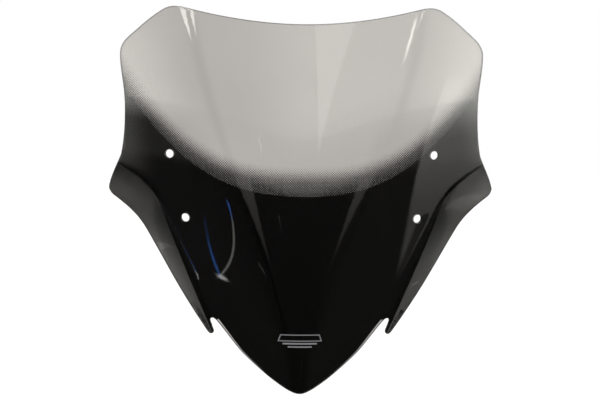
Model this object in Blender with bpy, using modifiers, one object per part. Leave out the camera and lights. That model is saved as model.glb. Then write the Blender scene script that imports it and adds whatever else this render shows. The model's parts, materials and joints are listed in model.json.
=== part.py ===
"""Touring windscreen of a motorcycle: one curved acrylic sheet, printed on its inner face.

World frame: +X across the bike, the convex outer face looks along -Y, +Z up. X = 0 is the plane of
symmetry, Z = 0 the tip of the outline, and Y = 0 half of the sheet's depth. Dimensions are in
millimetres and become metres where vertices are made.
"""

import math

import bmesh
import bpy
from mathutils import Vector

MM = 0.001
COLLECTION = "windshield_screen"
GAP = 0.3
CUTTERS = "cutters"

# Mesh
CELL = 14.0
CURVE_STEPS = 5
SLOPE_STEP = 0.01
ON_PLANE = 0.00001
MIDDLE = 0.001
SHARP_DEG = 35.0

# Sheet
THICKNESS = 3.0
EDGE_CHAMFER = 0.6
NOSE_LINES = (0.4, 0.9, 1.8)

# Outer surface: a cone-like dome whose section is a rounded V
SIDE_SLOPE = 0.44
NOSE_SPREAD = 0.335
NOSE_APEX_Z = 40.0
NOSE_MIN = 12.0
CREST_Z = 262.0
PROFILE_BEND = 0.0008
CREST_Y = -32.6

# Side flanges: the sheet turns forwards outside a soft concave crease, more so lower down
CREASE_FOOT = (92.0, 77.0)
CREASE_LEAN = 0.425
CREASE_FLARE_Z = 175.0
CREASE_FLARE = 1.65e-4
FLANGE_TURN = 0.36
FLANGE_TURN_Z = 200.0
FLANGE_TURN_GAIN = 0.0045
CREASE_SOFT = 1.6

# Fixing holes, with a flat land round each one
HOLES = ((132.1, 240.7), (116.0, 177.2))
HOLE_RADIUS = 4.25
HOLE_CHAMFER = 0.5
HOLE_SIDES = 32
CUT_BEYOND = 2.0
LAND_HALF = 9.0
LAND_EASE = 25.0

# Black print on the inner face; its borders rise from the middle as a power of x
PRINT_MARGIN = 0.7
PRINT_THICKNESS = 0.2
PRINT_HOLE_RADIUS = 4.6
MASK_TOP = (199.6, 24.5, 2.4)
FADE_TOP = (231.0, 25.8, 2.5)
LOWER_MARGIN_FROM_X = 36.0
LOWER_MARGIN_TO_X = 84.0
LOWER_MARGIN = 1.4

# Generic mark on the outer face
MARK_X = -1.0
MARK_Z = (54.9, 61.9)
MARK_HALF = (22.0, 19.5)
MARK_LINE = 0.9
MARK_THICKNESS = 0.2
BARS = (("label_bar_upper", 17.0, 51.8, 1.6), ("label_bar_lower", 11.8, 48.6, 1.4))
MARK_CELL = 5.0

# Right half of the outline, from the middle of the top edge round to the lowest point:
# x, z, heading in, handle in, heading out, handle out (headings in degrees from +X)
OUTLINE = (
    (0.0, 369.1, 0, 0, 0, 38),
    (112.0, 384.4, 14.5, 38, 14.5, 9),
    (138.5, 384.7, -29, 10, -29, 9),
    (164.6, 364.8, -43, 10, -43, 9),
    (181.8, 340.5, -90, 12, -90, 18),
    (176.6, 284.0, -90, 26, -90, 20),
    (180.4, 239.5, -78, 12, -66, 8),
    (192.0, 208.5, -80, 9, -80, 2.2),
    (188.2, 200.5, -144, 2.4, -144, 16),
    (155.1, 167.6, -121.3, 16, -121.3, 16),
    (122.9, 112.0, -120.5, 16, -120.5, 16),
    (92.0, 63.6, -124, 14, -124, 1.2),
    (88.4, 60.4, 180, 1.4, 180, 1.4),
    (86.0, 63.4, 73, 1.4, 73, 3),
    (89.8, 73.8, 73, 3, 73, 1.4),
    (87.8, 76.4, 180, 1.3, 180, 1.3),
    (83.2, 72.9, -129, 1.6, -131, 9),
    (57.4, 41.0, -134.5, 9, -134.5, 10),
    (26.0, 13.4, -144, 10, -144, 8),
    (0.0, 0.0, 180, 8, 180, 0),
)


def nose_width(z):
    """Half width of the rounded nose of the section at height z."""
    ramp = NOSE_SPREAD * (z - NOSE_APEX_Z)
    return (ramp + math.hypot(ramp, 2 * NOSE_MIN)) / 2


def crease_x(z):
    """Distance of the crease from the plane of symmetry at height z, and its slope."""
    over = max(z - CREASE_FLARE_Z, 0.0)
    x = CREASE_FOOT[0] + CREASE_LEAN * (z - CREASE_FOOT[1]) + CREASE_FLARE * over**3
    return x, CREASE_LEAN + 3 * CREASE_FLARE * over**2


def smooth_surface(x, z):
    """Depth of the outer face without the lands."""
    x = abs(x)
    width = nose_width(z)
    depth = CREST_Y + PROFILE_BEND * (z - CREST_Z) ** 2
    depth += SIDE_SLOPE * (math.hypot(x, width) - width)
    edge, lean = crease_x(z)
    beyond = (x - edge) / math.hypot(1, lean) / CREASE_SOFT
    turn = max(beyond, 0.0) + math.log1p(math.exp(-abs(beyond)))
    steepness = FLANGE_TURN + FLANGE_TURN_GAIN * max(FLANGE_TURN_Z - z, 0.0)
    return depth - steepness * CREASE_SOFT * turn


def gradient(surface, x, z):
    step = SLOPE_STEP
    slope_x = (surface(x + step, z) - surface(x - step, z)) / (2 * step)
    slope_z = (surface(x, z + step) - surface(x, z - step)) / (2 * step)
    return slope_x, slope_z


def outer_surface(x, z):
    """Depth of the outer face, flat on the land round each hole."""
    x = abs(x)
    depth = smooth_surface(x, z)
    land = LAND_HALF * math.sqrt(2)
    for hole_x, hole_z in HOLES:
        reach = math.hypot(x - hole_x, z - hole_z)
        if reach < LAND_EASE:
            slope_x, slope_z = gradient(smooth_surface, hole_x, hole_z)
            flat = smooth_surface(hole_x, hole_z)
            flat += slope_x * (x - hole_x) + slope_z * (z - hole_z)
            share = min(max((LAND_EASE - reach) / (LAND_EASE - land), 0.0), 1.0)
            share = share * share * (3 - 2 * share)
            depth += share * (flat - depth)
    return depth


def inward(x, z):
    """Unit normal of the outer face, pointing into the sheet."""
    slope_x, slope_z = gradient(outer_surface, x, z)
    return Vector((-slope_x, 1.0, -slope_z)).normalized()


def border_z(x, border):
    """Height of a border of the print at x, from its height in the middle and its rise."""
    middle, rise_at_100, power = border
    return middle + rise_at_100 * (abs(x) / 100) ** power


def lower_margin(x):
    """Unprinted strip above the lower edges: none at the tip, widest at the notch."""
    share = (x - LOWER_MARGIN_FROM_X) / (LOWER_MARGIN_TO_X - LOWER_MARGIN_FROM_X)
    return LOWER_MARGIN * min(max(share, 0.0), 1.0)


def outline_mesh(name, knots):
    """A closed Bezier outline in the XZ plane, as one flat face."""
    curve = bpy.data.curves.new(name, "CURVE")
    curve.dimensions = "2D"
    curve.fill_mode = "NONE"
    curve.resolution_u = CURVE_STEPS
    spline = curve.splines.new("BEZIER")
    spline.use_cyclic_u = True
    spline.bezier_points.add(len(knots) - 1)
    for point, knot in zip(spline.bezier_points, knots):
        x, z, heading_in, reach_in, heading_out, reach_out = knot
        turn_in, turn_out = math.radians(heading_in), math.radians(heading_out)
        point.co = (x, z, 0)
        point.handle_left_type = "FREE" if reach_in else "VECTOR"
        point.handle_right_type = "FREE" if reach_out else "VECTOR"
        point.handle_left = (x - reach_in * math.cos(turn_in), z - reach_in * math.sin(turn_in), 0)
        point.handle_right = (x + reach_out * math.cos(turn_out), z + reach_out * math.sin(turn_out), 0)
    holder = bpy.data.objects.new(name, curve)
    bpy.context.scene.collection.objects.link(holder)
    mesh = bpy.data.meshes.new_from_object(holder)
    bpy.data.objects.remove(holder)
    bpy.data.curves.remove(curve)
    flat = bmesh.new()
    flat.from_mesh(mesh)
    bpy.data.meshes.remove(mesh)
    for vertex in flat.verts:
        vertex.co = (vertex.co.x, 0.0, vertex.co.y)
    bmesh.ops.remove_doubles(flat, verts=flat.verts, dist=10 * ON_PLANE)
    bmesh.ops.contextual_create(flat, geom=flat.edges[:])
    return flat


def cut(flat, point, normal, where=None, clear=False):
    """Cuts the flat mesh along a plane; with clear, what lies on the side of the normal goes."""
    faces = [f for f in flat.faces if where is None or where(f.calc_center_median())]
    edges = {e for f in faces for e in f.edges}
    verts = {v for f in faces for v in f.verts}
    bmesh.ops.bisect_plane(
        flat,
        geom=[*faces, *edges, *verts],
        plane_co=point,
        plane_no=normal,
        dist=ON_PLANE,
        clear_outer=clear,
    )


def grid(flat, cell):
    """Cuts the flat mesh into square cells."""
    low = [min(v.co[i] for v in flat.verts) for i in range(3)]
    high = [max(v.co[i] for v in flat.verts) for i in range(3)]
    for axis in (0, 2):
        line = (math.floor(low[axis] / cell) + 0.5) * cell
        while line < high[axis]:
            point, normal = Vector(), Vector()
            point[axis], normal[axis] = line, 1
            cut(flat, point, normal)
            line += cell


def cut_along(flat, curve):
    """Cuts the flat mesh along the curve x = curve(z)."""
    for vertex in flat.verts:
        vertex.co.x -= curve(vertex.co.z)
    cut(flat, (0, 0, 0), (1, 0, 0))
    for vertex in flat.verts:
        vertex.co.x += curve(vertex.co.z)


def refine(flat):
    """Cells, with edges along the nose and the crease and round the land of each hole."""
    grid(flat, CELL)
    for offset in (-CREASE_SOFT, 0.0, CREASE_SOFT):
        cut_along(flat, lambda z: crease_x(z)[0] + offset * math.hypot(1, crease_x(z)[1]))
    for share in NOSE_LINES:
        cut_along(flat, lambda z: share * nose_width(z))
    for x, z in HOLES:
        hole = Vector((x, 0, z))
        for direction in (Vector((1, 0, 0)), Vector((0, 0, 1))):
            for side in (-LAND_HALF, LAND_HALF):
                cut(flat, hole + side * direction, direction, lambda c: (c - hole).length < 2 * CELL)


def clear_beyond(flat, line, above, where=None):
    """Removes what lies above (or below) the curve z = line(x)."""
    for vertex in flat.verts:
        vertex.co.z -= line(vertex.co.x)
    cut(flat, (0, 0, 0), (0, 0, 1 if above else -1), where, clear=True)
    for vertex in flat.verts:
        vertex.co.z += line(vertex.co.x)


def inset(flat, margin):
    """Brings the outline in by the margin; returns the faces of the ring left outside."""
    bmesh.ops.recalc_face_normals(flat, faces=flat.faces[:])
    made = bmesh.ops.inset_region(
        flat, faces=flat.faces[:], thickness=margin, use_boundary=True, use_even_offset=True
    )
    return made["faces"]


def plate(*corners):
    """A flat face with straight sides through the corners."""
    return outline_mesh("plate", [(x + MARK_X, z, 0, 0, 0, 0) for x, z in corners])


def blank(margin):
    """The right half of the sheet's outline, brought in by the margin, and the ring left outside."""
    flat = outline_mesh("outline", OUTLINE)
    for vertex in flat.verts:
        if vertex.co.x < MIDDLE:
            vertex.co.x -= 2 * margin
    ring = inset(flat, margin)
    return flat, ring


def sheet_blank():
    """The half sheet, with a narrow ring of faces along its edge for the chamfer."""
    flat, _ = blank(EDGE_CHAMFER)
    cut(flat, (0, 0, 0), (-1, 0, 0), clear=True)
    return flat


def print_blank():
    """The half sheet less the unprinted margin along its edge."""
    flat, ring = blank(PRINT_MARGIN)
    bmesh.ops.delete(flat, geom=ring, context="FACES")
    cut(flat, (0, 0, 0), (-1, 0, 0), clear=True)
    for vertex in flat.verts:
        if vertex.co.z < vertex.co.x < LOWER_MARGIN_TO_X:
            shift = lower_margin(vertex.co.x) * math.sqrt(0.5)
            vertex.co += Vector((-shift, 0, shift))
    return flat


def material(name, colour, roughness, metallic=0.0, alpha=1.0):
    made = bpy.data.materials.new(name)
    made.use_nodes = True
    shader = made.node_tree.nodes["Principled BSDF"]
    shader.inputs["Base Color"].default_value = (*colour, 1.0)
    shader.inputs["Roughness"].default_value = roughness
    shader.inputs["Metallic"].default_value = metallic
    shader.inputs["Alpha"].default_value = alpha
    made.diffuse_color = (*colour, alpha)
    return made


def shell(name, flat, offset, thickness, look, mirrored=True, chamfer=0.0):
    """A solid of even thickness whose front lies offset inside the outer face."""
    bmesh.ops.triangulate(flat, faces=flat.faces[:], quad_method="BEAUTY", ngon_method="BEAUTY")
    if mirrored:
        for vertex in flat.verts:
            if vertex.co.x < MIDDLE:
                vertex.co.x = 0.0
        everything = [*flat.verts, *flat.edges, *flat.faces]
        bmesh.ops.mirror(flat, geom=everything, axis="X", merge_dist=ON_PLANE)
    rim = flat.verts.layers.int.new("rim")
    for vertex in flat.verts:
        vertex[rim] = vertex.is_boundary
    back = bmesh.ops.extrude_face_region(flat, geom=flat.faces[:], use_keep_orig=True)
    behind = {item for item in back["geom"] if isinstance(item, bmesh.types.BMVert)}
    for vertex in flat.verts:
        x, z = vertex.co.x, vertex.co.z
        depth = offset + chamfer * vertex[rim]
        if vertex in behind:
            depth = offset + thickness - chamfer * vertex[rim]
        vertex.co = (Vector((x, outer_surface(x, z), z)) + inward(x, z) * depth) * MM
    bmesh.ops.recalc_face_normals(flat, faces=flat.faces[:])
    mesh = bpy.data.meshes.new(name)
    flat.to_mesh(mesh)
    flat.free()
    mesh.materials.append(look)
    mesh.shade_smooth()
    mesh.set_sharp_from_angle(angle=math.radians(SHARP_DEG))
    made = bpy.data.objects.new(name, mesh)
    bpy.data.collections[COLLECTION].objects.link(made)
    return made


def lathe(name, profile):
    """A solid of revolution about its own Z axis, from (radius, height) pairs in millimetres."""
    mesh = bpy.data.meshes.new(name)
    path = [Vector((radius, 0, height)) * MM for radius, height in reversed(profile)]
    mesh.from_pydata(path, [(i, i + 1) for i in range(len(path) - 1)], [])
    made = bpy.data.objects.new(name, mesh)
    bpy.data.collections[CUTTERS].objects.link(made)
    screw = made.modifiers.new("Screw", "SCREW")
    screw.steps = screw.render_steps = HOLE_SIDES
    screw.use_merge_vertices = True
    screw.merge_threshold = ON_PLANE * MM
    made.hide_render = True
    made.display_type = "WIRE"
    return made


def drill(target, radius, chamfer):
    """Cuts the four fixing holes square to the sheet, chamfered where they meet its faces."""
    wide = radius + (chamfer + CUT_BEYOND if chamfer else 0)
    profile = [(0, -CUT_BEYOND), (wide, -CUT_BEYOND)]
    if chamfer:
        profile += [(radius, chamfer), (radius, THICKNESS - chamfer)]
    profile += [(wide, THICKNESS + CUT_BEYOND), (0, THICKNESS + CUT_BEYOND)]
    for level, (x, z) in zip(("upper", "lower"), HOLES):
        for label, side in (("right", 1), ("left", -1)):
            cutter = lathe(f"{target.name}_{level}_{label}", profile)
            axis = inward(x, z)
            axis.x *= side
            cutter.location = Vector((side * x, outer_surface(x, z), z)) * MM
            cutter.rotation_mode = "QUATERNION"
            cutter.rotation_quaternion = axis.to_track_quat("Z", "Y")
            hole = target.modifiers.new("Hole", "BOOLEAN")
            hole.operation = "DIFFERENCE"
            hole.solver = "EXACT"
            hole.object = cutter


for thing in list(bpy.data.objects):
    bpy.data.objects.remove(thing, do_unlink=True)
for label in (COLLECTION, CUTTERS):
    group = bpy.data.collections.new(label)
    bpy.context.scene.collection.children.link(group)

smoke = material("smoke_acrylic", (0.47, 0.46, 0.43), 0.06, alpha=0.55)
black = material("black_print", (0.008, 0.008, 0.009), 0.25)
halftone = material("halftone_print", (0.05, 0.05, 0.05), 0.3, alpha=0.6)
grey = material("grey_print", (0.16, 0.16, 0.17), 0.45)

sheet_flat = sheet_blank()
refine(sheet_flat)
sheet = shell("screen_sheet", sheet_flat, 0.0, THICKNESS, smoke, chamfer=EDGE_CHAMFER)
drill(sheet, HOLE_RADIUS, HOLE_CHAMFER)

mask_flat = print_blank()
refine(mask_flat)
clear_beyond(mask_flat, lambda x: border_z(x, MASK_TOP), above=True)
mask = shell("mask_print", mask_flat, THICKNESS + GAP, PRINT_THICKNESS, black)
drill(mask, PRINT_HOLE_RADIUS, 0.0)

fade_flat = print_blank()
refine(fade_flat)
clear_beyond(fade_flat, lambda x: border_z(x, FADE_TOP), above=True)
clear_beyond(fade_flat, lambda x: border_z(x, MASK_TOP) + GAP, above=False)
shell("fade_print", fade_flat, THICKNESS + GAP, PRINT_THICKNESS, halftone)

wide, narrow = MARK_HALF
frame_flat = plate((-wide, MARK_Z[0]), (wide, MARK_Z[0]), (narrow, MARK_Z[1]), (-narrow, MARK_Z[1]))
ring = inset(frame_flat, MARK_LINE)
middle = [f for f in frame_flat.faces if f not in ring]
bmesh.ops.delete(frame_flat, geom=middle, context="FACES")
grid(frame_flat, MARK_CELL)
mark_out = -(GAP + MARK_THICKNESS)
shell("label_frame", frame_flat, mark_out, MARK_THICKNESS, grey, mirrored=False)
for name, half, low, height in BARS:
    bar_flat = plate((-half, low), (half, low), (half, low + height), (-half, low + height))
    grid(bar_flat, MARK_CELL)
    shell(name, bar_flat, mark_out, MARK_THICKNESS, grey, mirrored=False)
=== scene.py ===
"""Looks of the motorcycle windscreen: smoke acrylic sheet, black print with a halftone fade.

The sheet, its print and the halftone dots are rebuilt finely on the CAD part's own surface; the
three pieces of the generic mark are the CAD nodes themselves. Dimensions are in millimetres in
the CAD part's frame (+X across, the outer face looks along -Y, +Z up) and become metres where
vertices are made.
"""

import json
import math

import bmesh
import bpy
import numpy as np
from mathutils import Matrix, Vector

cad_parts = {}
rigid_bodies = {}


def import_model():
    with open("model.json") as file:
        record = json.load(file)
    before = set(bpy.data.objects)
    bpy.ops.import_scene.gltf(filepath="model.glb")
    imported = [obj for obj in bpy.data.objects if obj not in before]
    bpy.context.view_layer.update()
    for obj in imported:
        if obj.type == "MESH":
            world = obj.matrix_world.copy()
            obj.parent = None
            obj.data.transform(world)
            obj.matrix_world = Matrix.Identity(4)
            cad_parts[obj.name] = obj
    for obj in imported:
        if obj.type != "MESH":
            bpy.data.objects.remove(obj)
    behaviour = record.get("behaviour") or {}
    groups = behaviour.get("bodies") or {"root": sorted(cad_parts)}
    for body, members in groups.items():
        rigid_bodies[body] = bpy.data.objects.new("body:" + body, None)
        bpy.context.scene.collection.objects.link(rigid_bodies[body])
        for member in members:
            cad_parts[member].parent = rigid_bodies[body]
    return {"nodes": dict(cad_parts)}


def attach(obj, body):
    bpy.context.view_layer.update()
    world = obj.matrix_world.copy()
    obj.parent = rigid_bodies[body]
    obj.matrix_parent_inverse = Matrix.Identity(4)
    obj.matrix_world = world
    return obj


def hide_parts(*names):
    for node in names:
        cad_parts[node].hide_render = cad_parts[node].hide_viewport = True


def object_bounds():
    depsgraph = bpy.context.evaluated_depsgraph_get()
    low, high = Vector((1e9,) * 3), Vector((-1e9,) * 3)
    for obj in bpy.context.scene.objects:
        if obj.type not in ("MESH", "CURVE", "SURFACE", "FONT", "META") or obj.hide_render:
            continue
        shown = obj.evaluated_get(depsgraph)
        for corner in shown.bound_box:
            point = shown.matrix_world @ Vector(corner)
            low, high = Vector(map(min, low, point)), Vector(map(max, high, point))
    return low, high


MM = 0.001
SLOPE_STEP = 0.01
OUTLINE_MERGE = 0.0001
ON_PLANE = 0.001

# Sheet
THICKNESS = 3.0
EDGE_RADIUS = 0.9
EDGE_STEPS = 4
CURVE_STEPS = 12
CELL = 3.0
SNAP = 0.02
MERGE = 0.00001
SHARP_DEG = 40.0

# Outer surface: a cone-like dome whose section is a rounded V
SIDE_SLOPE = 0.44
NOSE_SPREAD = 0.335
NOSE_APEX_Z = 40.0
NOSE_MIN = 12.0
CREST_Z = 262.0
PROFILE_BEND = 0.0008
CREST_Y = -32.6

# Side flanges: the sheet turns forwards outside a soft concave crease, more so lower down
CREASE_FOOT = (92.0, 77.0)
CREASE_LEAN = 0.425
CREASE_FLARE_Z = 175.0
CREASE_FLARE = 1.65e-4
FLANGE_TURN = 0.36
FLANGE_TURN_Z = 200.0
FLANGE_TURN_GAIN = 0.0045
CREASE_SOFT = 1.6
CREASE_LINES = (-2.4, -1.4, -0.8, -0.4, 0.0, 0.4, 0.8, 1.4, 2.4)

# Fixing holes
HOLES = ((132.1, 240.7), (116.0, 177.2))
HOLE_RADIUS = 4.25
HOLE_CHAMFER = 0.5
HOLE_SIDES = 64
CUT_BEYOND = 2.0

# Print on the inner face; its borders rise from the middle as a power of x
PRINT_GAP = 0.1
PRINT_THICKNESS = 0.08
PRINT_MARGIN = 0.15
PRINT_HOLE_RADIUS = 4.6
MASK_TOP = (199.6, 25.0, 2.55)
FADE_TOP = (230.0, 24.3, 2.7)
LOWER_MARGIN_FROM_X = 36.0
LOWER_MARGIN_TO_X = 84.0
LOWER_MARGIN = 1.6

# Halftone: dots on a diagonal lattice, clipped to their cells where they have grown together
DOT_PITCH = 1.19
DOT_SIDES = 12
DOT_LARGEST = 0.88
DOT_FALL = 2.3
DOT_FALL_SIDE = 0.45
DOT_SMALLEST = 0.1
DOT_THICKNESS = 0.05

# Painted sheen: how strongly the acrylic mirrors outside the crease, set by height and by distance
# from the crease, and a painted shade band along the upper crease
PAINTED_SHEEN_LOW = (105.0, 1.5)
PAINTED_SHEEN_HIGH = (190.0, 0.42)
PAINTED_SHEEN_RIM = (8.0, 32.0, 0.3)
PAINTED_SHEEN_RIM_Z = (185.0, 205.0)
# painted shade: a band just inside the upper crease where the acrylic mirrors less
SHADE_BAND_MIDDLE = -3.3
SHADE_BAND_HALF = 3.3
SHADE_BAND_SOFT = 1.4
SHADE_BAND_Z = (190.0, 210.0)
SHADE_BAND_DIM = 0.62
PAINTED_SHEEN_MOST = 2.0

# Camera
CAMERA_TARGET = (0.0, 0.0007, 0.193)
CAMERA_TURN_DEG = 3.0
CAMERA_RISE_DEG = 1.5
CAMERA_ROLL_DEG = 0.43
CAMERA_DISTANCE = 2.6
CAMERA_LENS = 157.1
CAMERA_SENSOR = 36.0
CAMERA_SHIFT = (-2.05 / 600, 2.7 / 600)
CAMERA_RANGE = (0.05, 60.0)

# Studio
FLOOR_RADIUS = 12.0
FLOOR_SIDES = 64

# Right half of the outline, from the middle of the top edge round to the lowest point:
# x, z, heading in, handle in, heading out, handle out (headings in degrees from +X)
OUTLINE = (
    (0.0, 369.1, 0, 0, 0, 38),
    (112.0, 384.4, 14.5, 38, 14.5, 9),
    (138.5, 384.7, -29, 10, -29, 9),
    (164.6, 364.8, -43, 10, -43, 9),
    (181.8, 340.5, -90, 12, -90, 18),
    (176.6, 284.0, -90, 26, -90, 20),
    (180.4, 239.5, -78, 12, -66, 8),
    (192.0, 208.5, -80, 9, -80, 2.2),
    (188.2, 200.5, -144, 2.4, -144, 16),
    (155.1, 167.6, -121.3, 16, -121.3, 16),
    (122.9, 112.0, -120.5, 16, -120.5, 16),
    (92.0, 63.6, -124, 14, -124, 1.2),
    (88.4, 60.4, 180, 1.4, 180, 1.4),
    (86.0, 63.4, 73, 1.4, 73, 3),
    (89.8, 73.8, 73, 3, 73, 1.4),
    (87.8, 76.4, 180, 1.3, 180, 1.3),
    (83.2, 72.9, -129, 1.6, -131, 9),
    (57.4, 41.0, -134.5, 9, -134.5, 10),
    (26.0, 13.4, -144, 10, -144, 8),
    (0.0, 0.0, 180, 8, 180, 0),
)


# ---------------------------------------------------------------- surface


def nose_width(z):
    """Half width of the rounded nose of the section at height z."""
    ramp = NOSE_SPREAD * (z - NOSE_APEX_Z)
    return (ramp + np.hypot(ramp, 2 * NOSE_MIN)) / 2


def crease_x(z):
    """Distance of the crease from the plane of symmetry at height z, and its slope."""
    over = np.maximum(z - CREASE_FLARE_Z, 0.0)
    x = CREASE_FOOT[0] + CREASE_LEAN * (z - CREASE_FOOT[1]) + CREASE_FLARE * over**3
    return x, CREASE_LEAN + 3 * CREASE_FLARE * over**2


def outer_depth(x, z):
    """Depth (y) of the outer face."""
    x = np.abs(x)
    width = nose_width(z)
    depth = CREST_Y + PROFILE_BEND * (z - CREST_Z) ** 2
    depth = depth + SIDE_SLOPE * (np.hypot(x, width) - width)
    edge, lean = crease_x(z)
    beyond = (x - edge) / np.hypot(1, lean) / CREASE_SOFT
    turn = np.maximum(beyond, 0.0) + np.log1p(np.exp(-np.abs(beyond)))
    steepness = FLANGE_TURN + FLANGE_TURN_GAIN * np.maximum(FLANGE_TURN_Z - z, 0.0)
    return depth - steepness * CREASE_SOFT * turn


def placed(x, z, inside):
    """Points that lie the given distance inside the outer face, as rows of metres."""
    x, z = np.asarray(x, float), np.asarray(z, float)
    step, run = SLOPE_STEP, 2 * SLOPE_STEP
    slope_x = (outer_depth(x + step, z) - outer_depth(x - step, z)) / run
    slope_z = (outer_depth(x, z + step) - outer_depth(x, z - step)) / run
    inward = np.stack((-slope_x, np.ones_like(x), -slope_z), axis=-1)
    inward /= np.linalg.norm(inward, axis=-1, keepdims=True)
    face = np.stack((x, outer_depth(x, z), z), axis=-1)
    return (face + inward * np.asarray(inside, float)[..., None]) * MM


def border_z(x, border):
    """Height of a border of the print at x, from its height in the middle and its rise."""
    middle, rise_at_100, power = border
    return middle + rise_at_100 * (np.abs(x) / 100) ** power


# ---------------------------------------------------------------- flat blanks


def outline_mesh(knots):
    """A closed Bezier outline in the XZ plane, as one flat face."""
    curve = bpy.data.curves.new("outline", "CURVE")
    curve.dimensions = "2D"
    curve.fill_mode = "NONE"
    curve.resolution_u = CURVE_STEPS
    spline = curve.splines.new("BEZIER")
    spline.use_cyclic_u = True
    spline.bezier_points.add(len(knots) - 1)
    for point, knot in zip(spline.bezier_points, knots):
        x, z, heading_in, reach_in, heading_out, reach_out = knot
        turn_in, turn_out = math.radians(heading_in), math.radians(heading_out)
        point.co = (x, z, 0)
        point.handle_left_type = "FREE" if reach_in else "VECTOR"
        point.handle_right_type = "FREE" if reach_out else "VECTOR"
        point.handle_left = (x - reach_in * math.cos(turn_in), z - reach_in * math.sin(turn_in), 0)
        point.handle_right = (
            x + reach_out * math.cos(turn_out),
            z + reach_out * math.sin(turn_out),
            0,
        )
    holder = bpy.data.objects.new("outline", curve)
    bpy.context.scene.collection.objects.link(holder)
    mesh = bpy.data.meshes.new_from_object(holder)
    bpy.data.objects.remove(holder)
    bpy.data.curves.remove(curve)
    flat = bmesh.new()
    flat.from_mesh(mesh)
    bpy.data.meshes.remove(mesh)
    for vertex in flat.verts:
        vertex.co = (vertex.co.x, 0.0, vertex.co.y)
    bmesh.ops.remove_doubles(flat, verts=flat.verts, dist=OUTLINE_MERGE)
    bmesh.ops.contextual_create(flat, geom=flat.edges[:])
    bmesh.ops.recalc_face_normals(flat, faces=flat.faces[:])
    return flat


def cut(flat, point, normal, clear=False):
    """Cuts the flat mesh along a plane; with clear, what lies on the side of the normal goes."""
    bmesh.ops.bisect_plane(
        flat,
        geom=[*flat.verts, *flat.edges, *flat.faces],
        plane_co=point,
        plane_no=normal,
        dist=SNAP,
        clear_outer=clear,
    )


def cut_along(flat, curve):
    """Cuts the flat mesh along the curve x = curve(z)."""
    for vertex in flat.verts:
        vertex.co.x -= curve(vertex.co.z)
    cut(flat, (0, 0, 0), (1, 0, 0))
    for vertex in flat.verts:
        vertex.co.x += curve(vertex.co.z)


def clear_above(flat, border):
    """Removes what lies above a border of the print."""
    for vertex in flat.verts:
        vertex.co.z -= border_z(vertex.co.x, border)
    cut(flat, (0, 0, 0), (0, 0, 1), clear=True)
    for vertex in flat.verts:
        vertex.co.z += border_z(vertex.co.x, border)


def refine(flat):
    """Square cells, and edges close together across the crease."""
    low = [min(v.co[i] for v in flat.verts) for i in range(3)]
    high = [max(v.co[i] for v in flat.verts) for i in range(3)]
    for axis in (0, 2):
        line = (math.floor(low[axis] / CELL) + 0.5) * CELL
        while line < high[axis]:
            point, normal = Vector(), Vector()
            point[axis], normal[axis] = line, 1
            cut(flat, point, normal)
            line += CELL
    for offset in CREASE_LINES:

        def along(z):
            edge, lean = crease_x(z)
            return edge + offset * CREASE_SOFT * math.hypot(1, lean)

        cut_along(flat, along)


def inset(flat, faces, margin):
    """Brings the outline in by the margin; returns the faces of the ring left outside."""
    made = bmesh.ops.inset_region(
        flat, faces=faces, thickness=margin, use_boundary=True, use_even_offset=True
    )
    return made["faces"]


def half_outline(margin):
    """The right half of the outline, carried past the plane of symmetry by twice the margin."""
    flat = outline_mesh(OUTLINE)
    for vertex in flat.verts:
        if vertex.co.x < ON_PLANE:
            vertex.co.x -= 2 * margin
    return flat


def rounded_blank():
    """The half sheet with rings of faces along its edge, and on each ring how deep it sits."""
    flat = half_outline(EDGE_RADIUS)
    sunk = flat.verts.layers.float.new("sunk")
    for vertex in flat.verts:
        vertex[sunk] = EDGE_RADIUS
    middle = flat.faces[:]
    reached = 0.0
    for step in range(1, EDGE_STEPS + 1):
        turn = math.pi / 2 * step / EDGE_STEPS
        ring = set(inset(flat, middle, EDGE_RADIUS * (1 - math.cos(turn)) - reached))
        reached = EDGE_RADIUS * (1 - math.cos(turn))
        middle = [f for f in middle if f.is_valid and f not in ring]
        for vertex in {v for f in middle for v in f.verts}:
            vertex[sunk] = EDGE_RADIUS * (1 - math.sin(turn))
    cut(flat, (0, 0, 0), (-1, 0, 0), clear=True)
    return flat


def print_blank():
    """The half sheet less the unprinted margin along its edge."""
    flat = half_outline(PRINT_MARGIN)
    ring = inset(flat, flat.faces[:], PRINT_MARGIN)
    bmesh.ops.delete(flat, geom=ring, context="FACES")
    cut(flat, (0, 0, 0), (-1, 0, 0), clear=True)
    for vertex in flat.verts:
        x, z = vertex.co.x, vertex.co.z
        if z < x < LOWER_MARGIN_TO_X:
            share = (x - LOWER_MARGIN_FROM_X) / (LOWER_MARGIN_TO_X - LOWER_MARGIN_FROM_X)
            shift = LOWER_MARGIN * min(max(share, 0.0), 1.0) * math.sqrt(0.5)
            vertex.co += Vector((-shift, 0, shift))
    return flat


# ---------------------------------------------------------------- pieces


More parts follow.
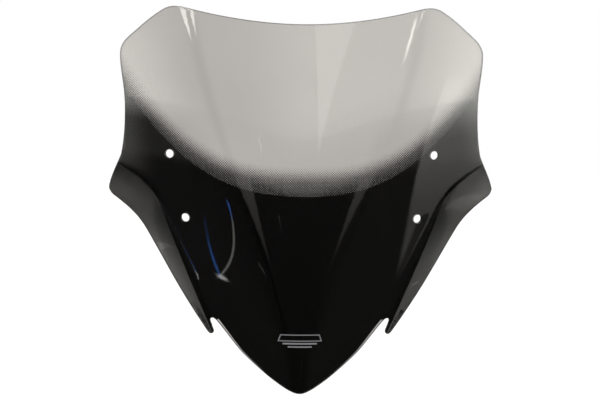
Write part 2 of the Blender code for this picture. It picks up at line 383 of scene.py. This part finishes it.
def shell(name, flat, front, back, look, rim_look=None):
    """A mirrored solid between two distances inside the outer face, its rim rounded if it has
    a look of its own."""
    bmesh.ops.triangulate(flat, faces=flat.faces[:], quad_method="BEAUTY", ngon_method="BEAUTY")
    for vertex in flat.verts:
        if vertex.co.x < SNAP:
            vertex.co.x = 0.0
    everything = [*flat.verts, *flat.edges, *flat.faces]
    bmesh.ops.mirror(flat, geom=everything, axis="X", merge_dist=MERGE)
    sides = bmesh.ops.extrude_face_region(flat, geom=flat.faces[:], use_keep_orig=True)
    behind = {item for item in sides["geom"] if isinstance(item, bmesh.types.BMVert)}
    flat.verts.ensure_lookup_table()
    spots = np.array([(v.co.x, v.co.z) for v in flat.verts])
    is_back = np.array([v in behind for v in flat.verts])
    sunk = np.zeros(len(spots))
    if rim_look:
        layer = flat.verts.layers.float["sunk"]
        sunk = np.array([v[layer] for v in flat.verts])
        for face in flat.faces:
            face.material_index = int(any(v[layer] > 0 for v in face.verts))
    depth = np.where(is_back, back - sunk, front + sunk)
    for vertex, point in zip(flat.verts, placed(spots[:, 0], spots[:, 1], depth)):
        vertex.co = point
    bmesh.ops.recalc_face_normals(flat, faces=flat.faces[:])
    mesh = bpy.data.meshes.new(name)
    flat.to_mesh(mesh)
    flat.free()
    mesh.materials.append(look)
    if rim_look:
        mesh.materials.append(rim_look)
    made = bpy.data.objects.new(name, mesh)
    bpy.context.scene.collection.objects.link(made)
    return made


def lathe(profile):
    """A solid of revolution about its own Z axis, from (radius, height) pairs in millimetres."""
    mesh = bpy.data.meshes.new("cutter")
    path = [Vector((radius, 0, height)) * MM for radius, height in reversed(profile)]
    mesh.from_pydata(path, [(i, i + 1) for i in range(len(path) - 1)], [])
    made = bpy.data.objects.new("cutter", mesh)
    bpy.context.scene.collection.objects.link(made)
    screw = made.modifiers.new("Screw", "SCREW")
    screw.steps = screw.render_steps = HOLE_SIDES
    screw.use_merge_vertices = True
    screw.merge_threshold = MERGE
    return made


def drill(target, radius, chamfer):
    """Cuts the four fixing holes square to the sheet, chamfered where they meet its faces."""
    wide = radius + (chamfer + CUT_BEYOND if chamfer else 0)
    profile = [(0, -CUT_BEYOND), (wide, -CUT_BEYOND)]
    if chamfer:
        profile += [(radius, chamfer), (radius, THICKNESS - chamfer)]
    profile += [(wide, THICKNESS + CUT_BEYOND), (0, THICKNESS + CUT_BEYOND)]
    cutters = []
    for x, z in HOLES:
        for side in (1, -1):
            cutter = lathe(profile)
            cutters.append(cutter)
            outer, inner = placed([side * x] * 2, [z] * 2, [0.0, THICKNESS])
            cutter.location = Vector(outer)
            cutter.rotation_mode = "QUATERNION"
            cutter.rotation_quaternion = Vector(inner - outer).to_track_quat("Z", "Y")
            hole = target.modifiers.new("Hole", "BOOLEAN")
            hole.operation = "DIFFERENCE"
            hole.solver = "EXACT"
            hole.object = cutter
    bpy.context.view_layer.update()
    graph = bpy.context.evaluated_depsgraph_get()
    mesh = bpy.data.meshes.new_from_object(target.evaluated_get(graph), depsgraph=graph)
    target.modifiers.clear()
    target.data = mesh
    for cutter in cutters:
        bpy.data.objects.remove(cutter)


def smooth(target):
    """Smooth shading that follows the large faces and stays crisp at the hole rims."""
    target.data.shade_smooth()
    target.data.set_sharp_from_angle(angle=math.radians(SHARP_DEG))
    weighted = target.modifiers.new("Weighted", "WEIGHTED_NORMAL")
    weighted.keep_sharp = True
    weighted.mode = "FACE_AREA"


def edge_loop(flat):
    """The boundary of a flat mesh as a closed ring of (x, z) points."""
    edges = [e for e in flat.edges if e.is_boundary]
    start = edges[0].verts[0]
    ring, here, left = [start], start, set(edges)
    while left:
        step = next((e for e in here.link_edges if e in left), None)
        if step is None:
            break
        left.remove(step)
        here = step.other_vert(here)
        ring.append(here)
    return np.array([(v.co.x, v.co.z) for v in ring])


def halftone(look):
    """Dots that shrink upwards from the top of the mask, as thin prisms; one piece a side."""
    ring = edge_loop(print_blank())
    side = ring[(ring[:, 0] > OUTLINE[5][0] / 2) & (ring[:, 1] > HOLES[0][1] - DOT_PITCH)]
    side = side[np.argsort(side[:, 1])]
    columns = np.arange(0, math.ceil(OUTLINE[7][0] / DOT_PITCH))
    lowest, highest = MASK_TOP[0] / DOT_PITCH, OUTLINE[3][1] / DOT_PITCH
    rows = np.arange(math.floor(lowest) - 1, math.ceil(highest))
    i, j = np.meshgrid(columns, rows, indexing="ij")
    even = (i + j) % 2 == 0
    x, z = i[even] * DOT_PITCH, j[even] * DOT_PITCH
    low, high = border_z(x, MASK_TOP), border_z(x, FADE_TOP)
    fall = DOT_FALL - DOT_FALL_SIDE * (x / 100) ** 2
    share = np.clip((z - low) / (high - low), 0, 1)
    radius = DOT_LARGEST * DOT_PITCH * (1 - share**fall)
    turn = np.arange(DOT_SIDES) * 2 * math.pi / DOT_SIDES
    cell = DOT_PITCH / (np.abs(np.cos(turn)) + np.abs(np.sin(turn)))
    reach = np.minimum(radius[:, None], cell[None, :])
    corner_x = x[:, None] + reach * np.cos(turn)
    corner_z = z[:, None] + reach * np.sin(turn)
    above = corner_z - border_z(corner_x, MASK_TOP) - SNAP
    inside = np.interp(corner_z, side[:, 1], side[:, 0]) - SNAP - corner_x
    keep = (radius > DOT_SMALLEST) & (above.max(axis=1) > SNAP) & (inside.max(axis=1) > SNAP)
    corner_z -= np.minimum(above, 0)
    corner_x += np.minimum(inside, 0)
    for direction, name in ((1, "fade_dots_right"), (-1, "fade_dots_left")):
        chosen = keep & ((x >= 0) if direction > 0 else (x > 0))
        dots(name, direction * corner_x[chosen], corner_z[chosen], look)


def dots(name, corner_x, corner_z, look):
    """One mesh of thin prisms from the corners of their outlines."""
    count, sides = corner_x.shape
    front = THICKNESS + PRINT_GAP
    layers = [
        placed(corner_x.ravel(), corner_z.ravel(), np.full(count * sides, depth))
        for depth in (front, front + DOT_THICKNESS)
    ]
    faces = []
    half = count * sides
    for dot in range(count):
        ring = [dot * sides + k for k in range(sides)]
        faces.append(ring)
        faces.append([half + k for k in reversed(ring)])
        faces += [
            (ring[k - 1], ring[k], half + ring[k], half + ring[k - 1])[::-1] for k in range(sides)
        ]
    mesh = bpy.data.meshes.new(name)
    mesh.from_pydata(np.concatenate(layers).tolist(), [], faces)
    shape = bmesh.new()
    shape.from_mesh(mesh)
    bmesh.ops.recalc_face_normals(shape, faces=shape.faces[:])
    shape.to_mesh(mesh)
    shape.free()
    mesh.materials.append(look)
    made = bpy.data.objects.new(name, mesh)
    bpy.context.scene.collection.objects.link(made)
    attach(made, "root")
    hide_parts("fade_print")


# ---------------------------------------------------------------- node helpers


class Value:
    """A number socket of a node tree that takes part in arithmetic."""

    def __init__(self, tree, socket):
        self.tree = tree
        self.socket = socket

    def math(self, operation, *others):
        """The result of a Math node that takes this value first."""
        node = self.tree.nodes.new("ShaderNodeMath")
        node.operation = operation
        for slot, item in zip(node.inputs, (self, *others)):
            plug(self.tree, slot, item)
        return Value(self.tree, node.outputs[0])

    def __add__(self, other):
        return self.math("ADD", other)

    def __sub__(self, other):
        return self.math("SUBTRACT", other)

    def __mul__(self, other):
        return self.math("MULTIPLY", other)

    def __truediv__(self, other):
        return self.math("DIVIDE", other)

    def __rsub__(self, other):
        return self * -1.0 + other

    def ramp(self, start, end, low=0.0, high=1.0):
        """A smooth step from low to high as the value goes from start to end."""
        node = self.tree.nodes.new("ShaderNodeMapRange")
        node.interpolation_type = "SMOOTHSTEP"
        for slot, item in zip(node.inputs, (self, start, end, low, high)):
            plug(self.tree, slot, item)
        return Value(self.tree, node.outputs[0])

    def near(self, centre, half, soft):
        """1 within half of the centre, 0 further off, with a soft border."""
        return (self - centre).math("ABSOLUTE").ramp(half - soft, half + soft, 1.0, 0.0)


def plug(tree, slot, item):
    """Feeds a slot from a value socket, or sets it to a constant."""
    if isinstance(item, Value):
        tree.links.new(item.socket, slot)
    else:
        slot.default_value = item


def noise(tree, coords, scale, detail, stretch=(1, 1, 1)):
    """Noise between 0 and 1 on stretched coordinates."""
    mapping = tree.nodes.new("ShaderNodeMapping")
    mapping.inputs["Scale"].default_value = stretch
    tree.links.new(coords, mapping.inputs["Vector"])
    node = tree.nodes.new("ShaderNodeTexNoise")
    node.inputs["Scale"].default_value = scale
    node.inputs["Detail"].default_value = detail
    tree.links.new(mapping.outputs[0], node.inputs["Vector"])
    return Value(tree, node.outputs[0])


def blend_colour(tree, share, first, second):
    """A colour that goes from first to second as share goes from 0 to 1."""
    node = tree.nodes.new("ShaderNodeMix")
    node.data_type = "RGBA"
    plug(tree, node.inputs["Factor"], share)
    for slot, colour in (("A", first), ("B", second)):
        if isinstance(colour, tuple):
            node.inputs[slot].default_value = (*colour, 1)
        else:
            tree.links.new(colour, node.inputs[slot])
    return node.outputs["Result"]


def bump(tree, height, distance):
    """The normal of a surface that rises by the height times the distance in metres."""
    node = tree.nodes.new("ShaderNodeBump")
    node.inputs["Strength"].default_value = 1.0
    node.inputs["Distance"].default_value = distance
    tree.links.new(height.socket, node.inputs["Height"])
    return node.outputs[0]


def new_material(name):
    """A material, its node tree, its shader and the coordinates of the surface."""
    made = bpy.data.materials.new(name)
    made.use_nodes = True
    tree = made.node_tree
    coords = tree.nodes.new("ShaderNodeTexCoord").outputs["Object"]
    return made, tree, tree.nodes["Principled BSDF"], coords


# ---------------------------------------------------------------- materials


def acrylic(name, dark, light):
    """Tinted clear acrylic: polished, with a trace of ripple, haze and fine scratches. How
    strongly it mirrors is painted by place through the specular tint (painted sheen).
    """
    made, tree, shader, coords = new_material(name)
    cloud = noise(tree, coords, 9.0, 3.0)
    colour = blend_colour(tree, cloud.ramp(0.3, 0.7), dark, light)
    tree.links.new(colour, shader.inputs["Base Color"])
    scratches = noise(tree, coords, 60.0, 4.0, (1.0, 1.0, 18.0)).ramp(0.68, 0.8)
    haze = noise(tree, coords, 140.0, 5.0).ramp(0.35, 0.75)
    plug(tree, shader.inputs["Roughness"], scratches * 0.03 + haze * 0.012 + 0.004)
    ripple = noise(tree, coords, 14.0, 1.0)
    tree.links.new(bump(tree, ripple, 0.00004), shader.inputs["Normal"])
    # painted sheen: the mirroring is scaled by place through the specular tint
    share = sheen(tree, coords) / PAINTED_SHEEN_MOST
    painted_sheen_tint = blend_colour(tree, share, (0.0,) * 3, (PAINTED_SHEEN_MOST,) * 3)
    tree.links.new(painted_sheen_tint, shader.inputs["Specular Tint"])
    shader.inputs["Transmission Weight"].default_value = 1.0
    shader.inputs["IOR"].default_value = 1.49
    return made


def sheen(tree, coords):
    """Painted sheen: how much the acrylic mirrors, as a share of bare acrylic. It is 1 inside the
    crease, set by height and by distance outside it, and dimmed in a painted shade band along the
    upper crease.
    """
    split = tree.nodes.new("ShaderNodeSeparateXYZ")
    tree.links.new(coords, split.inputs[0])
    x, z = Value(tree, split.outputs["X"]) / MM, Value(tree, split.outputs["Z"]) / MM
    flare = (z - CREASE_FLARE_Z).math("MAXIMUM", 0.0).math("POWER", 3.0) * CREASE_FLARE
    edge = (z - CREASE_FOOT[1]) * CREASE_LEAN + CREASE_FOOT[0] + flare
    beyond = x.math("ABSOLUTE") - edge
    flange = z.ramp(PAINTED_SHEEN_LOW[0], PAINTED_SHEEN_HIGH[0], PAINTED_SHEEN_LOW[1], PAINTED_SHEEN_HIGH[1])
    rim = beyond.ramp(PAINTED_SHEEN_RIM[0], PAINTED_SHEEN_RIM[1], 0.0, PAINTED_SHEEN_RIM[2])
    flange = flange + rim * z.ramp(*PAINTED_SHEEN_RIM_Z)
    share = (flange - 1.0) * beyond.ramp(-1.0, 3.0) + 1.0
    # painted shade: the mirroring dims in a band just inside the upper crease
    shade_band = beyond.near(SHADE_BAND_MIDDLE, SHADE_BAND_HALF, SHADE_BAND_SOFT)
    return share * (1.0 - shade_band * z.ramp(*SHADE_BAND_Z, 0.0, SHADE_BAND_DIM))


def ink(name, dark, light, roughness, bonded=True):
    """Screen-printed ink with the grain of the mesh; where it is bonded to the sheet, its sheen
    shows only on the side away from the sheet."""
    made, tree, shader, coords = new_material(name)
    grain = noise(tree, coords, 900.0, 3.0)
    cloud = noise(tree, coords, 16.0, 3.0)
    colour = blend_colour(tree, (grain * 0.6 + cloud * 0.4).ramp(0.35, 0.65), dark, light)
    tree.links.new(colour, shader.inputs["Base Color"])
    rough = cloud.ramp(0.3, 0.7, roughness - 0.06, roughness + 0.06)
    plug(tree, shader.inputs["Roughness"], rough)
    tree.links.new(bump(tree, grain, 0.00002), shader.inputs["Normal"])
    shader.inputs["Specular IOR Level"].default_value = 0.35
    if bonded:
        facing = tree.nodes.new("ShaderNodeSeparateXYZ")
        geometry = tree.nodes.new("ShaderNodeNewGeometry")
        tree.links.new(geometry.outputs["Normal"], facing.inputs[0])
        free = Value(tree, facing.outputs["Y"]).ramp(-0.1, 0.1)
        plug(tree, shader.inputs["Specular IOR Level"], free * 0.35)
    return made


# ---------------------------------------------------------------- studio


def mirrored_room(turn, rise):
    """Brightness of the room that the sheet mirrors, by azimuth and elevation in degrees."""
    lights = side_glow(turn, rise) + door(turn, rise) + spikes(turn, rise) + lamps(turn, rise)
    front = walls(turn, rise) + lights
    behind = turn.math("ABSOLUTE").ramp(60.0, 85.0)
    return front * (1.0 - behind) + behind * 0.35


def walls(turn, rise):
    """Wide walls, bright above the horizon, with a brighter wedge and two dim gaps."""
    aside = turn.math("ABSOLUTE")
    across = turn.ramp(-38.0, 8.0, 0.8, 2.4)
    level = aside.ramp(36.0, 46.0, 0.035, 0.07) + rise.ramp(-8.0, 6.0) * (across - 0.9)
    level = level + rise.ramp(-13.4, -11.0, 0.0, 0.86) * aside.ramp(36.0, 40.0, 1.0, 0.25)
    level = level + rise.ramp(-6.0, 0.0) * aside.ramp(36.0, 40.0, 0.0, 0.6)
    wedge = turn.near(rise * 0.16 + 13.8, rise * 0.34 + 1.7, 0.7)
    gaps = turn.near(-34.6, 0.9, 0.9) * 0.9 + turn.near(41.8, 0.8, 0.9) * 0.35
    return (level + wedge) * (1.0 - gaps)


def side_glow(turn, rise):
    """Bright walls far to the left and to the right."""
    edge = rise.ramp(-19.0, -11.0) * rise.ramp(2.0, -3.0)
    left = turn.ramp(-36.0, -45.0, 0.0, 3.2) * rise.ramp(-6.0, 0.0)
    left = left * rise.ramp(8.0, 19.0, 1.0, 0.6)
    left = left + (rise * 0.2 - turn - 41.7).ramp(0.0, 3.0, 0.0, 1.5) * edge
    right = turn.ramp(41.5, 53.0, 0.0, 4.0) * rise.ramp(-9.0, 2.0)
    right = right + (rise * 0.3 + turn - 47.35).ramp(0.0, 2.5, 0.0, 1.8) * edge
    return left + right


def door(turn, rise):
    """A lit opening on the right, with a curved near edge and a darker recess low in it."""
    drop = rise * -1.0 - 10.8
    border = drop * drop * 0.00885 + drop * 0.207 + 47.7
    level = (turn - border).ramp(-0.15, 0.25) * rise.ramp(-24.0, -6.0, 0.65, 1.5)
    drop = rise * -1.0 - 22.0
    border = drop * drop * 0.009 + drop.math("ABSOLUTE") * 0.3 + 52.05
    recess = (turn - border).ramp(-0.12, 0.12) * rise.ramp(-19.8, -21.0)
    level = level * (1.0 - recess * 0.82)
    return level * rise.ramp(-37.0, -34.0) * rise.ramp(-1.0, 6.0, 1.0, 0.0)


def spikes(turn, rise):
    """Two tapering gaps of light that hang into the dark on the left and on the right."""
    spread = rise + 29.0
    left = turn.near(-32.5, spread * 0.145, 0.4)
    right = turn.near(rise * 0.17 + 41.7, spread * 0.12, 0.4)
    fade = rise.ramp(-30.0, -12.0, 0.15, 0.6) * rise.ramp(-13.0, -10.0, 1.0, 0.0)
    return (left + right) * fade


def lamps(turn, rise):
    """Thin bright streaks at the upper left and at the upper right."""
    outer = turn.near(rise * -0.08 - 34.1, (rise - 11.0) * 0.055, 0.12)
    inner = turn.near(-34.2, (rise - 12.0) * 0.045, 0.12)
    left = outer * rise.ramp(11.5, 15.0) + inner * rise.ramp(12.5, 17.0)
    glint = turn.near(rise * 0.1 + 39.1, 0.24, 0.16) * rise.ramp(7.5, 12.5)
    spark = turn.near(rise * 0.18 + 38.6, 0.12, 0.14) * rise.ramp(14.0, 18.0)
    return (left + glint * rise.ramp(15.0, 18.0, 1.0, 0.0) + spark * 0.8) * 7.0


def small_lights(turn, rise):
    """White and blue parts of a thin loop of light and three dashes, low on the left."""
    drop = rise * -1.0 - 18.0
    right = turn.near(drop * drop * -0.033 - drop * 0.12 - 38.75, 0.14, 0.12)
    right = right * rise.near(-25.6, 7.3, 0.6)
    left = turn.near(drop * -0.385 - 41.96, 0.1, 0.1) * rise.near(-27.6, 5.0, 1.0)
    foot = turn.near(-47.5, 0.3, 0.3) * rise.near(-32.9, 0.3, 0.4)
    dash = turn.near(rise * -0.4 - 26.96, 0.14, 0.1) * rise.near(-18.9, 1.4, 0.4)
    dash = dash + turn.near(rise * -0.59 - 54.9, 0.16, 0.1) * rise.near(-29.5, 0.8, 0.3) * 0.6
    dash = dash + turn.near(-23.2, 0.1, 0.1) * rise.near(-4.4, 1.6, 0.5) * 2.0
    white = right * rise.ramp(-20.0, -23.0) * 2.0 + foot * 7.0 + dash * 2.2
    blue = right * rise.ramp(-22.5, -19.5) * 4.0
    return white, blue + left * rise.ramp(-24.0, -31.0, 0.6, 3.2)


def studio_world():
    """White for what is seen straight or through the sheet; a room for what it mirrors."""
    world = bpy.data.worlds.new("studio")
    bpy.context.scene.world = world
    world.use_nodes = True
    tree = world.node_tree
    tree.nodes.clear()
    out = tree.nodes.new("ShaderNodeOutputWorld")
    light = tree.nodes.new("ShaderNodeBackground")
    tree.links.new(light.outputs[0], out.inputs["Surface"])
    coords = tree.nodes.new("ShaderNodeTexCoord")
    split = tree.nodes.new("ShaderNodeSeparateXYZ")
    tree.links.new(coords.outputs["Generated"], split.inputs[0])
    east, north, up = (Value(tree, socket) for socket in split.outputs)
    turn = east.math("ARCTAN2", north * -1.0) * math.degrees(1)
    rise = up.math("ARCSINE") * math.degrees(1)
    reflected = in_mirror(tree)
    white, blue = small_lights(turn, rise)
    room = mirrored_room(turn, rise) + white + blue
    plug(tree, light.inputs["Strength"], reflected * (room - 1.0) + 1.0)
    tone = blend_colour(tree, blue / room, (1.0, 0.985, 0.94), (0.08, 0.3, 1.0))
    colour = blend_colour(tree, reflected, (1.0, 1.0, 1.0), tone)
    tree.links.new(colour, light.inputs["Color"])
    world.cycles.sampling_method = "NONE"


def in_mirror(tree):
    """1 for what is seen after a mirror reflection, else 0."""
    path = tree.nodes.new("ShaderNodeLightPath")
    return Value(tree, path.outputs["Glossy Depth"]).math("GREATER_THAN", 0.5)


def floor(height):
    """A wide pale floor, lit evenly; the sheet mirrors it as dark."""
    made = bpy.data.materials.new("pale_floor")
    made.use_nodes = True
    tree = made.node_tree
    shader = tree.nodes["Principled BSDF"]
    reflected = in_mirror(tree)
    colour = blend_colour(tree, reflected, (0.2, 0.2, 0.2), (0.01, 0.01, 0.01))
    tree.links.new(colour, shader.inputs["Base Color"])
    shader.inputs["Roughness"].default_value = 0.9
    shader.inputs["Emission Color"].default_value = (1, 1, 1, 1)
    plug(tree, shader.inputs["Emission Strength"], reflected * -0.82 + 0.84)
    mesh = bpy.data.meshes.new("floor")
    shape = bmesh.new()
    bmesh.ops.create_circle(shape, cap_ends=True, radius=FLOOR_RADIUS, segments=FLOOR_SIDES)
    shape.to_mesh(mesh)
    shape.free()
    mesh.materials.append(made)
    made = bpy.data.objects.new("floor", mesh)
    made.location.z = height
    made.visible_glossy = False
    bpy.context.scene.collection.objects.link(made)


def camera():
    """Long lens from a little left of the middle, level with the upper half."""
    data = bpy.data.cameras.new("camera")
    made = bpy.data.objects.new("camera", data)
    bpy.context.scene.collection.objects.link(made)
    turn, rise = math.radians(CAMERA_TURN_DEG), math.radians(CAMERA_RISE_DEG)
    level = math.cos(rise)
    away = Vector((-math.sin(turn) * level, -math.cos(turn) * level, math.sin(rise)))
    made.location = Vector(CAMERA_TARGET) + away * CAMERA_DISTANCE
    facing = (-away).to_track_quat("-Z", "Y").to_matrix().to_4x4()
    roll = Matrix.Rotation(math.radians(CAMERA_ROLL_DEG), 4, "Z")
    made.matrix_world = Matrix.Translation(made.location) @ facing @ roll
    data.sensor_width = CAMERA_SENSOR
    data.lens = CAMERA_LENS
    data.shift_x, data.shift_y = CAMERA_SHIFT
    data.clip_start, data.clip_end = CAMERA_RANGE
    bpy.context.scene.camera = made


# ---------------------------------------------------------------- scene

for thing in list(bpy.data.objects):
    bpy.data.objects.remove(thing, do_unlink=True)
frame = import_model()
cad_low, cad_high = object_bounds()

clear = acrylic("smoke_acrylic_look", (0.435, 0.416, 0.391), (0.455, 0.436, 0.411))
# the rounded rim gets a far darker acrylic colour: painted shade for the dark outline along the
# edge
rim = acrylic("acrylic_rim_painted_shade_look", (0.15, 0.145, 0.14), (0.17, 0.165, 0.16))
black_ink = ink("black_print_look", (0.004, 0.004, 0.0045), (0.007, 0.007, 0.0075), 0.32)
dot_ink = ink("halftone_print_look", (0.0045, 0.0045, 0.005), (0.0075, 0.0075, 0.008), 0.36)
grey_ink = ink("grey_print_look", (0.15, 0.15, 0.16), (0.22, 0.22, 0.23), 0.45, bonded=False)

sheet_flat = rounded_blank()
refine(sheet_flat)
sheet = shell("screen_sheet_fine", sheet_flat, 0.0, THICKNESS, clear, rim)
drill(sheet, HOLE_RADIUS, HOLE_CHAMFER)
smooth(sheet)
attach(sheet, "root")
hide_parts("screen_sheet")

mask_flat = print_blank()
refine(mask_flat)
clear_above(mask_flat, MASK_TOP)
front = THICKNESS + PRINT_GAP
mask = shell("mask_print_fine", mask_flat, front, front + PRINT_THICKNESS, black_ink)
drill(mask, PRINT_HOLE_RADIUS, 0.0)
smooth(mask)
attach(mask, "root")
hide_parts("mask_print")

halftone(dot_ink)

for name in ("label_frame", "label_bar_upper", "label_bar_lower"):
    frame["nodes"][name].data.materials[0] = grey_ink

studio_world()
floor(cad_low.z)
camera()
scene = bpy.context.scene
scene.view_settings.view_transform = "Standard"
scene.view_settings.look = "None"
